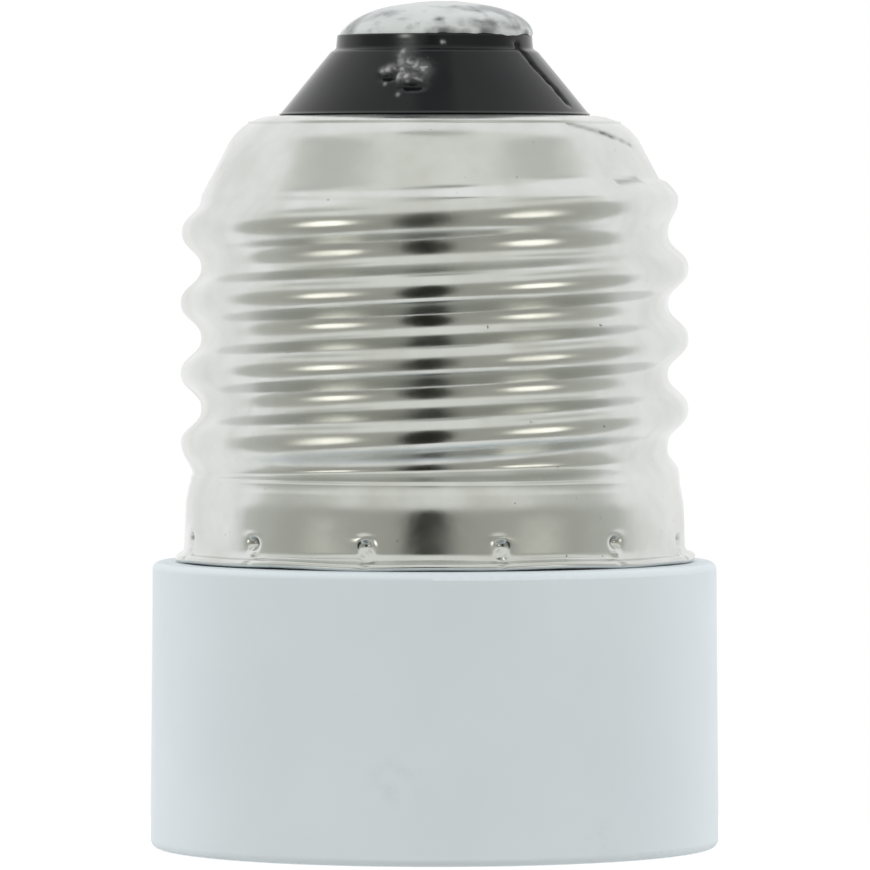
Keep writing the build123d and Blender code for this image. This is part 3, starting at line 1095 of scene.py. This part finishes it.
@dataclass
class Insulator:
    """The black glass frustum in the crown, with its torn scar and a drawn line down one side.

    The lumps, hollows and painted glints are placed across from the scar's angle.
    """

    base: float = 37.63
    base_radius: float = 8.02
    shoulder: float = 40.88
    shoulder_radius: float = 5.38
    rim: float = 41.8
    rim_radius: float = 5.02
    band_radius: float = 5.1
    ledge: float = 41.02
    ledge_half: float = 0.14
    side_rings: int = 74
    bore_radius: float = 0.95
    scar_angle: float = -107.0
    line_angle: float = -33.0
    line_level: float = 40.9
    line_slant: float = 0.052
    line_width: float = 0.26
    lumps: tuple[Spot, ...] = (
        Spot(0.02, 40.3, 0.22, 0.38, 0.2),
        Spot(-0.65, 39.88, 0.3, 0.17, 0.24),
        Spot(-0.38, 40.02, 0.28, 0.2, 0.24),
        Spot(0.35, 40.0, 0.36, 0.4, 0.26),
        Spot(1.05, 39.82, 0.46, 0.4, 0.36),
        Spot(0.1, 39.5, 0.15, 0.24, 0.26),
        Spot(0.5, 39.52, 0.27, 0.24, 0.34),
    )
    hollows: tuple[Spot, ...] = (Spot(0.95, 39.03, 0.5, 0.17, 0.26), Spot(-0.52, 39.48, 0.36, 0.15, 0.16))
    # painted glints: bright spots in the colour on the scar, and a glint bar just under the rim
    painted_glints: tuple[Spot, ...] = (
        Spot(-0.58, 39.2, 0.09, 0.09, 0.35),
        Spot(0.25, 38.65, 0.1, 0.1, 0.35),
        Spot(1.9, 41.35, 0.085, 0.085, 0.9),
        Spot(-0.03, 40.88, 0.12, 0.12, 0.4),
        Spot(0.12, 39.52, 0.13, 0.13, 0.5),
        Spot(0.5, 39.6, 0.12, 0.12, 0.6),
        Spot(-0.55, 39.93, 0.14, 0.14, 0.45),
        Spot(0.05, 40.32, 0.14, 0.14, 0.4),
        Spot(-0.02, 41.66, 0.28, 0.09, 0.5),
    )
    torn_lift: float = 0.16
    finish: BlackGlass = BlackGlass()

    def foot(self) -> Outline:
        """Draws the foot on the crown.

        Returns:
            Radius and height of each ring.
        """
        return [(7.58, self.base), (7.85, self.base), (7.98, self.base + 0.03), (8.01, self.base + 0.1)]

    def outline(self) -> Field:
        """Draws the whole insulator, up the outside and down the inside.

        Returns:
            Radius and height of each ring.
        """
        heights = np.linspace(self.base + 0.17, self.rim - 0.06, self.side_rings)
        share = (heights - self.base) / (self.shoulder - self.base)
        cone = self.base_radius + (self.shoulder_radius - self.base_radius) * share
        band_share = (heights - self.shoulder) / (self.rim - self.shoulder)
        band = self.band_radius + (self.rim_radius - self.band_radius) * band_share
        upright = ease(heights, self.ledge - self.ledge_half, self.ledge + self.ledge_half)
        side = list(zip(cone * (1 - upright) + band * upright, heights))
        top = [(self.rim_radius - 0.04, self.rim), (4.52, self.rim), (4.52, 41.0)]
        bore = [(self.bore_radius, 41.0), (self.bore_radius, 35.63)]
        seat = [(8.35, 35.63), (8.35, 37.31), (7.58, 37.31)]
        return np.array(self.foot() + side + top + bore + seat)

    def drawn_line(self, angle: Field, radius: Field, height: Field) -> Field:
        """Reads the line down the side.

        Args:
            angle: Angles of the points.
            radius: Radii of the points.
            height: Heights of the points.

        Returns:
            1 on the line, falling to 0 beside it and at its ends.
        """
        slant = (self.line_level - height) * self.line_slant
        place = math.radians(self.line_angle) + slant + 0.012 * np.sin(3.1 * height)
        line = bell((turn_from(angle, 0) - place) * radius, self.line_width) * ease(height, 37.9, 38.4)
        return line * (1 - ease(height, 41.2, 41.6))

    def shaped(self, angle: Field, radius: Field, height: Field, ring: Field) -> Shaped:
        """Adds the scar's lumps, its hollows and painted glints, and the drawn line.

        Args:
            angle: Angles of the points.
            radius: Radii of the plain outline.
            height: Heights of the plain outline.
            ring: Ring numbers, from the foot.

        Returns:
            Radii, heights and the painted fields.
        """
        foot_rings = len(self.foot())
        outside = (ring >= foot_rings - 1) & (ring < foot_rings + self.side_rings)
        x, y = radius * np.cos(angle), radius * np.sin(angle)
        across = turn_from(angle, math.radians(self.scar_angle)) * radius
        crumble = grain(x, y, height, 0.42, 1.7) + 0.6 * grain(x, y, height, 0.2, 5.2)
        lumps = np.max([lump.on(across, height) for lump in self.lumps], axis=0)
        hollow = sum(hollow.on(across, height) for hollow in self.hollows)
        torn = np.clip(lumps / self.torn_lift, 0, 1)
        smear = bell(across - 0.1, 0.55) * ease(height, 40.2, 40.9)
        line = self.drawn_line(angle, radius, height)
        lift = lumps * (1 + 0.75 * crumble) - hollow + 0.04 * smear * crumble
        lift = lift - 0.12 * line * (1 + 0.8 * crumble) + 0.03 * grain(x, y, height, 3.0, 9.4)
        radius = radius + np.where(outside, lift, 0)
        # painted glints at the listed spots and on the crumbly tops of the torn lumps
        painted_glint = np.max([painted_glint.on(across, height) for painted_glint in self.painted_glints], axis=0)
        painted_glint = np.maximum(painted_glint, 0.4 * ease(crumble, 0.2, 0.6) * torn)
        painted = {"scar": 0.75 * torn + 0.5 * smear, "painted_glint": painted_glint, "dull": ease(line, 0.3, 0.7)}
        return radius, height, {name: np.where(outside, values, 0) for name, values in painted.items()}

    def build(self) -> None:
        """Models the insulator and sets it in place."""
        angles = crowded_angles(200, [self.scar_angle % 360, 331], 21, 88)
        piece = RingStack("fused_insulator", angles, self.outline(), self.shaped).build()
        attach(piece, Body.ADAPTER.value)
        give_finish(piece, self.finish, "insulator", crease=60)


@dataclass
class SolderTip:
    """The solder on the tip, a leaning frosty dome with an uneven border on the rim.

    The dirt on its front is placed across from the axis.
    """

    rim: float = 41.8
    radius: float = 4.93
    height: float = 1.78
    lean: float = 0.3
    offset: float = 0.08
    lines: int = 160
    dome_rings: int = 46
    top_rings: int = 2
    dirt: tuple[Spot, ...] = (
        Spot(-2.9, 42.75, 1.1, 0.32, 0.45),
        Spot(-2.0, 42.55, 0.5, 0.1, 0.4),
        Spot(0.0, 42.52, 0.28, 0.13, 0.95),
        Spot(0.5, 43.0, 0.4, 0.2, 0.4),
        Spot(2.3, 42.35, 1.5, 0.24, 0.75),
        Spot(4.0, 42.2, 0.7, 0.22, 0.7),
    )
    finish: FrostySolder = FrostySolder()

    def under(self) -> Outline:
        """Draws the solder in the insulator's recess and round the lead's end.

        Returns:
            Radius and height of each ring.
        """
        lead = [(0.0, 42.3), (0.42, 42.3), (0.42, 41.4)]
        return lead + [(4.5, 41.4), (4.5, self.rim - 0.01), (self.radius - 0.1, self.rim - 0.02)]

    def outline(self) -> Field:
        """Draws the whole solder, from the lead's end outwards and over the dome to its top.

        Returns:
            Radius and height of each ring.
        """
        dome = [
            (self.radius * math.cos(turn), self.rim + self.height * math.sin(turn))
            for turn in np.linspace(0, math.pi / 2, self.dome_rings)
        ]
        dome[-1] = (0.0, dome[-1][1])
        return np.array(self.under() + dome)

    def shaped(self, angle: Field, radius: Field, height: Field, ring: Field) -> Shaped:
        """Leans the dome and makes its skin and border uneven.

        Args:
            angle: Angles of the points.
            radius: Radii of the plain outline.
            height: Heights of the plain outline.
            ring: Ring numbers, from inside the recess.

        Returns:
            Radii, heights and the painted fields.
        """
        under_rings = len(self.under())
        outside = ring >= under_rings
        below_top = ring < under_rings + self.dome_rings - self.top_rings
        share = np.where(outside, np.clip((height - self.rim) / self.height, 0, 1), 0)
        x, y = radius * np.cos(angle), radius * np.sin(angle)
        skin = 0.05 * grain(x, y, height, 1.7, 2.2) + 0.02 * grain(x, y, height, 0.6, 6.1)
        border = np.where(outside, 1 - ease(height, self.rim + 0.05, self.rim + 0.5), 0)
        ragged = grain(x, y, 0 * x, 1.4, 4.4) + 0.5 * grain(x, y, 0 * x, 0.5, 7.7)
        height = height + np.where(outside, 0.7 * skin * (1 - border) - 0.03 - 0.02 * share, 0)
        height = height + 0.11 * border * ragged
        radius = radius + np.where(outside & below_top, 0.5 * skin, 0) + 0.03 * border
        soil_and_shade = border * ease(ragged, 0.1, 0.7) * 0.8
        mottle = ease(grain(x, y, height, 0.55, 3.3) + 0.5 * grain(x, y, height, 0.25, 1.1), -0.25, 0.45)
        for spot in self.dirt:
            dirty = spot.on(x, height) * (0.35 + 0.65 * mottle)
            soil_and_shade = np.maximum(soil_and_shade, np.where(outside & (y < 0), dirty, 0))
        return radius, height, {"soil_and_shade": soil_and_shade, "x_shift": self.offset * outside + self.lean * share**0.8}

    def build(self) -> None:
        """Models the solder and sets it in place."""
        angles = np.linspace(0, TAU, self.lines, endpoint=False)
        piece = RingStack("tip_solder", angles, self.outline(), self.shaped, closed=False).build()
        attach(piece, Body.ADAPTER.value)
        give_finish(piece, self.finish, "solder_contact", crease=60)


@dataclass
class LiveLead:
    """The live lead, whose lower end is soldered to the leaf; its pieces are cut into rings along its bend.
    """

    bend_start: Point = (0.0, -3.725, 25.6)
    bend_end: Point = (0.0, -2.0, 31.2)
    rings: int = 16
    core: PlainMetal = PlainMetal("live_lead_copper", (0.8, 0.42, 0.27), (0.6, 0.3, 0.2))
    sleeve: LeadSleeve = LeadSleeve("brown_sleeve", (0.13, 0.06, 0.035), (0.18, 0.085, 0.05))

    def build(self) -> None:
        """Copies the bare lead and its sleeve and cuts both into rings along the bend."""
        self.bendable("live_core", "bending_live_core", self.core)
        self.bendable("live_sleeve", "bending_live_sleeve", self.sleeve)

    def bendable(self, node: str, name: str, finish: Finish) -> None:
        """Makes a piece, cut into rings along the bend, that stands for a solid of the lead.

        Args:
            node: The solid.
            name: The piece's name.
            finish: Its finish.
        """
        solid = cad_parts[node]
        piece = bpy.data.objects.new(name, solid.data.copy())
        bpy.context.scene.collection.objects.link(piece)
        piece.data.transform(solid.matrix_world)
        select_only(piece)
        bpy.ops.object.mode_set(mode="EDIT")
        for height in np.linspace(self.bend_start[2], self.bend_end[2], self.rings):
            bpy.ops.mesh.select_all(action="SELECT")
            bpy.ops.mesh.bisect(plane_co=(0, 0, height * MM), plane_no=(0, 0, 1))
        bpy.ops.object.mode_set(mode="OBJECT")
        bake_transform(piece)
        give_finish(piece, finish, node, crease=40)


@dataclass
class KeptSolids:
    """The solids whose shape is already right, each with its finish."""

    moulding: WhiteMoulding = WhiteMoulding()
    brass: PlainMetal = PlainMetal("plain_brass", (0.78, 0.6, 0.3), (0.6, 0.45, 0.22))
    nickel: PlainMetal = PlainMetal("inner_nickel", (0.73, 0.72, 0.67), (0.6, 0.57, 0.5))
    spring: PlainMetal = PlainMetal(
        "spring_brass", (0.8, 0.62, 0.3), (0.62, 0.45, 0.2), stretch=(4, 0.4, 0.4)
    )
    copper: PlainMetal = PlainMetal("shell_lead_copper", (0.8, 0.42, 0.27), (0.6, 0.3, 0.2))
    sleeve: LeadSleeve = LeadSleeve("blue_sleeve", (0.03, 0.11, 0.36), (0.05, 0.15, 0.42))
    solder: FrostySolder = FrostySolder("joint_solder")

    def dress(self) -> None:
        """Gives each kept solid its finish, one material for solids of one kind."""
        for finish, nodes in (
            (self.moulding, ("collar",)),
            (self.brass, ("contact_plate",)),
            (self.nickel, ("lamp_shell",)),
            (self.spring, ("contact_leaf",)),
            (self.copper, ("shell_core",)),
            (self.sleeve, ("shell_sleeve",)),
            (self.solder, ("live_joint", "shell_joint")),
        ):
            material = finish.material()
            for node in nodes:
                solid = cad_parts[node]
                solid.data.materials.clear()
                solid.data.materials.append(material)
                log.info("%s: finished in %s", node, finish.name)


@dataclass(frozen=True)
class TentPatch:
    """A soft oval of one colour on the tent, seen from the object.

    Attributes:
        colour: The oval's colour.
        turn: Degrees from the camera's side to its middle.
        rise: Degrees of its middle above the horizon.
        wide: Half its width, in degrees.
        tall: Half its height, in degrees.
        paired: Whether the other side has one too.
        corner: 2 for a plain oval, and more for a squarer one.
        soft: Share of its size that the soft edge takes on each side.
    """

    colour: Colour
    turn: float
    rise: float
    wide: float
    tall: float
    paired: bool = False
    corner: float = 2.4
    soft: float = 0.08

    def share(self, graph: NodeGraph, turn: Socket, rise: Socket) -> Socket:
        """Reads how much of the patch shows in a direction.

        Args:
            graph: The tent's nodes.
            turn: Degrees from the camera's side.
            rise: Degrees above the horizon.

        Returns:
            1 inside the patch, falling to 0 over its soft edge.
        """
        if self.paired:
            turn = graph.maths("ABSOLUTE", turn)
        across = graph.maths("DIVIDE", graph.maths("SUBTRACT", turn, self.turn), self.wide)
        up = graph.maths("DIVIDE", graph.maths("SUBTRACT", rise, self.rise), self.tall)
        powers = [graph.maths("POWER", graph.maths("ABSOLUTE", part), self.corner) for part in (across, up)]
        away = graph.maths("POWER", graph.maths("ADD", *powers), 1 / self.corner)
        return graph.spread(away, (1 + self.soft, 1 - self.soft), WHOLE, curve="SMOOTHSTEP")


@dataclass
class Tent:
    """The white tent round the object, dimmer towards the camera's side.

    Attributes:
        white: The tent's colour, which the camera sees all over.
        strength: The tent's light.
        soft_extra: How much more light it gives to matt surfaces.
        roof: The pale roof over the camera's side.
        room: The dim room on that side, with its two higher wings and its darker middle.
        gap: The black gap that the camera looks through.
        boxes: The softboxes' fronts, as the nickel reflects them.
        zenith: The dark line near the top.
        sides: The soft dark patches at either side.
    """

    white: Colour = (1.0, 1.0, 1.0)
    strength: float = 1.0
    soft_extra: float = 0.24
    roof: TentPatch = TentPatch((0.84, 0.845, 0.8), 0, 48, 100, 52)
    room: tuple[TentPatch, ...] = (
        TentPatch((0.56, 0.57, 0.53), 0, -42, 102, 55, corner=8, soft=0.1),
        TentPatch((0.56, 0.57, 0.53), 68, -42, 36, 62, paired=True, corner=2.6, soft=0.1),
        TentPatch((0.4, 0.4, 0.36), 0, -42, 80, 54, corner=6, soft=0.2),
    )
    gap: TentPatch = TentPatch((0.012, 0.012, 0.008), -3, -30, 13, 42, soft=0.14)
    boxes: TentPatch = TentPatch((1.7, 1.66, 1.5), 50, -14, 13, 11, paired=True, soft=0.26)
    zenith: TentPatch = TentPatch((0.4, 0.41, 0.38), 0, 82, 75, 6)
    sides: TentPatch = TentPatch((0.62, 0.63, 0.59), 76, 48, 30, 9, paired=True, corner=2, soft=0.5)

    def hang(self) -> None:
        """Makes the tent the scene's world."""
        world = bpy.data.worlds.new("studio_tent")
        bpy.context.scene.world = world
        world.use_nodes = True
        graph = NodeGraph(world.node_tree)
        way = graph.node("ShaderNodeSeparateXYZ")
        graph.link(graph.node("ShaderNodeTexCoord").outputs["Generated"], way.inputs["Vector"])
        backward = graph.maths("MULTIPLY", way.outputs["Y"], -1)
        turn = graph.maths("DEGREES", graph.maths("ARCTAN2", way.outputs["X"], backward))
        rise = graph.maths("DEGREES", graph.maths("ARCSINE", way.outputs["Z"]))
        colour: Colour | Socket = self.white
        for patch in (self.roof, *self.room, self.gap, self.boxes, self.zenith, self.sides):
            colour = graph.blend(patch.share(graph, turn, rise), colour, patch.colour)
        seen = graph.node("ShaderNodeLightPath")
        colour = graph.blend(seen.outputs["Is Camera Ray"], colour, self.white)
        colour = graph.blend(seen.outputs["Is Transmission Ray"], colour, self.white)
        background = graph.node("ShaderNodeBackground")
        soft = graph.maths("MULTIPLY", seen.outputs["Is Diffuse Ray"], self.soft_extra)
        graph.link(graph.maths("ADD", soft, self.strength), background.inputs["Strength"])
        graph.link(colour, background.inputs["Color"])
        output = graph.node("ShaderNodeOutputWorld")
        graph.link(background.outputs["Background"], output.inputs["Surface"])


@dataclass
class Studio:
    """The pale floor, the soft tent round it, two softboxes and the camera at the photograph's angle."""

    distance: float = 438.0
    eye_height: float = 32.8
    aim_height: float = 21.2
    axis_pixel: float = 434.6
    focal_pixels: float = 8500.0
    sensor: float = 36.0
    clip_m: Span = (0.01, 20)
    box_turn: float = 48.0
    box_rise: float = 38.0
    box_distance: float = 600.0
    box_aim: float = 26.0
    box_size_m: Span = (0.26, 0.22)
    box_watts: float = 0.3
    floor_radius: float = 27.0
    floor_drop: float = 0.02
    floor_colour: Colour = (0.85, 0.85, 0.85)
    floor_lift: float = 0.4

    def build(self) -> None:
        """Sets up the floor, the tent, the lights and the camera."""
        self.floor()
        Tent().hang()
        for side in (-1, 1):
            self.softbox(side)
        self.camera()
        bpy.context.scene.view_settings.view_transform = "Standard"

    def floor(self) -> None:
        """Lays the pale floor, which shows white and keeps the object's shadow.

        It stops no light on its way to the object's underside, and it can't be seen from below.
        """
        bpy.ops.object.select_all(action="DESELECT")
        bpy.ops.mesh.primitive_circle_add(
            vertices=96,
            radius=self.floor_radius * MM,
            fill_type="NGON",
            location=(0, 0, -self.floor_drop * MM),
        )
        floor = bpy.context.object
        floor.name = "studio_floor"
        floor.visible_diffuse = False
        floor.visible_shadow = False
        floor.data.materials.append(self.floor_material())

    def floor_material(self) -> bpy.types.Material:
        """Makes the floor's matt white, a little lifted where the camera sees it.

        Returns:
            The material.
        """
        material = bpy.data.materials.new("floor_white")
        material.use_nodes = True
        graph = NodeGraph(material.node_tree)
        diffuse = graph.node("ShaderNodeBsdfDiffuse")
        diffuse.inputs["Color"].default_value = (*self.floor_colour, 1)
        seen = graph.node("ShaderNodeLightPath").outputs
        direct = graph.maths("MAXIMUM", seen["Is Camera Ray"], seen["Is Transmission Ray"])
        lift = graph.node("ShaderNodeEmission")
        graph.link(graph.maths("MULTIPLY", direct, self.floor_lift), lift.inputs["Strength"])
        lifted = graph.node("ShaderNodeAddShader")
        graph.link(diffuse.outputs["BSDF"], lifted.inputs[0])
        graph.link(lift.outputs["Emission"], lifted.inputs[1])
        sided = graph.node("ShaderNodeMixShader")
        graph.link(graph.node("ShaderNodeNewGeometry").outputs["Backfacing"], sided.inputs["Fac"])
        graph.link(lifted.outputs["Shader"], sided.inputs[1])
        graph.link(graph.node("ShaderNodeBsdfTransparent").outputs["BSDF"], sided.inputs[2])
        output = graph.node("ShaderNodeOutputMaterial")
        graph.link(sided.outputs["Shader"], output.inputs["Surface"])
        return material

    def softbox(self, side: int) -> None:
        """Hangs one softbox.

        Args:
            side: -1 for the left one, 1 for the right one.
        """
        turn, rise = math.radians(self.box_turn), math.radians(self.box_rise)
        level = math.cos(rise)
        way = Vector((side * math.sin(turn) * level, -math.cos(turn) * level, math.sin(rise)))
        aim = Vector((0, 0, self.box_aim))
        bpy.ops.object.light_add(type="AREA", location=(way * self.box_distance + aim) * MM)
        lamp = bpy.context.object
        lamp.name = "softbox_left" if side < 0 else "softbox_right"
        lamp.data.shape = "RECTANGLE"
        lamp.data.size, lamp.data.size_y = self.box_size_m
        lamp.data.energy = self.box_watts
        lamp.visible_glossy = False
        lamp.rotation_euler = way.to_track_quat("Z", "Y").to_euler()

    def camera(self) -> None:
        """Places the camera and frames the object as the photograph does."""
        data = bpy.data.cameras.new("photo_camera")
        camera = bpy.data.objects.new("photo_camera", data)
        bpy.context.scene.collection.objects.link(camera)
        data.sensor_width = self.sensor
        data.lens = self.focal_pixels * self.sensor / IMAGE_PIXELS
        data.clip_start, data.clip_end = self.clip_m
        data.shift_x = (IMAGE_PIXELS / 2 - self.axis_pixel) / IMAGE_PIXELS
        eye = Vector((0, -self.distance, self.eye_height)) * MM
        aim = Vector((0, 0, self.aim_height)) * MM
        camera.location = eye
        camera.rotation_euler = (aim - eye).to_track_quat("-Z", "Y").to_euler()
        bpy.context.scene.camera = camera


def main() -> None:
    """Builds the pieces in order, from the tip down, and sets up the studio."""
    logging.basicConfig(level=logging.INFO, format="%(name)s %(message)s")
    SolderTip().build()
    Insulator().build()
    ScrewShell().build()
    LiveLead().build()
    KeptSolids().dress()
    Studio().build()


if __name__ == "__main__":
    main()
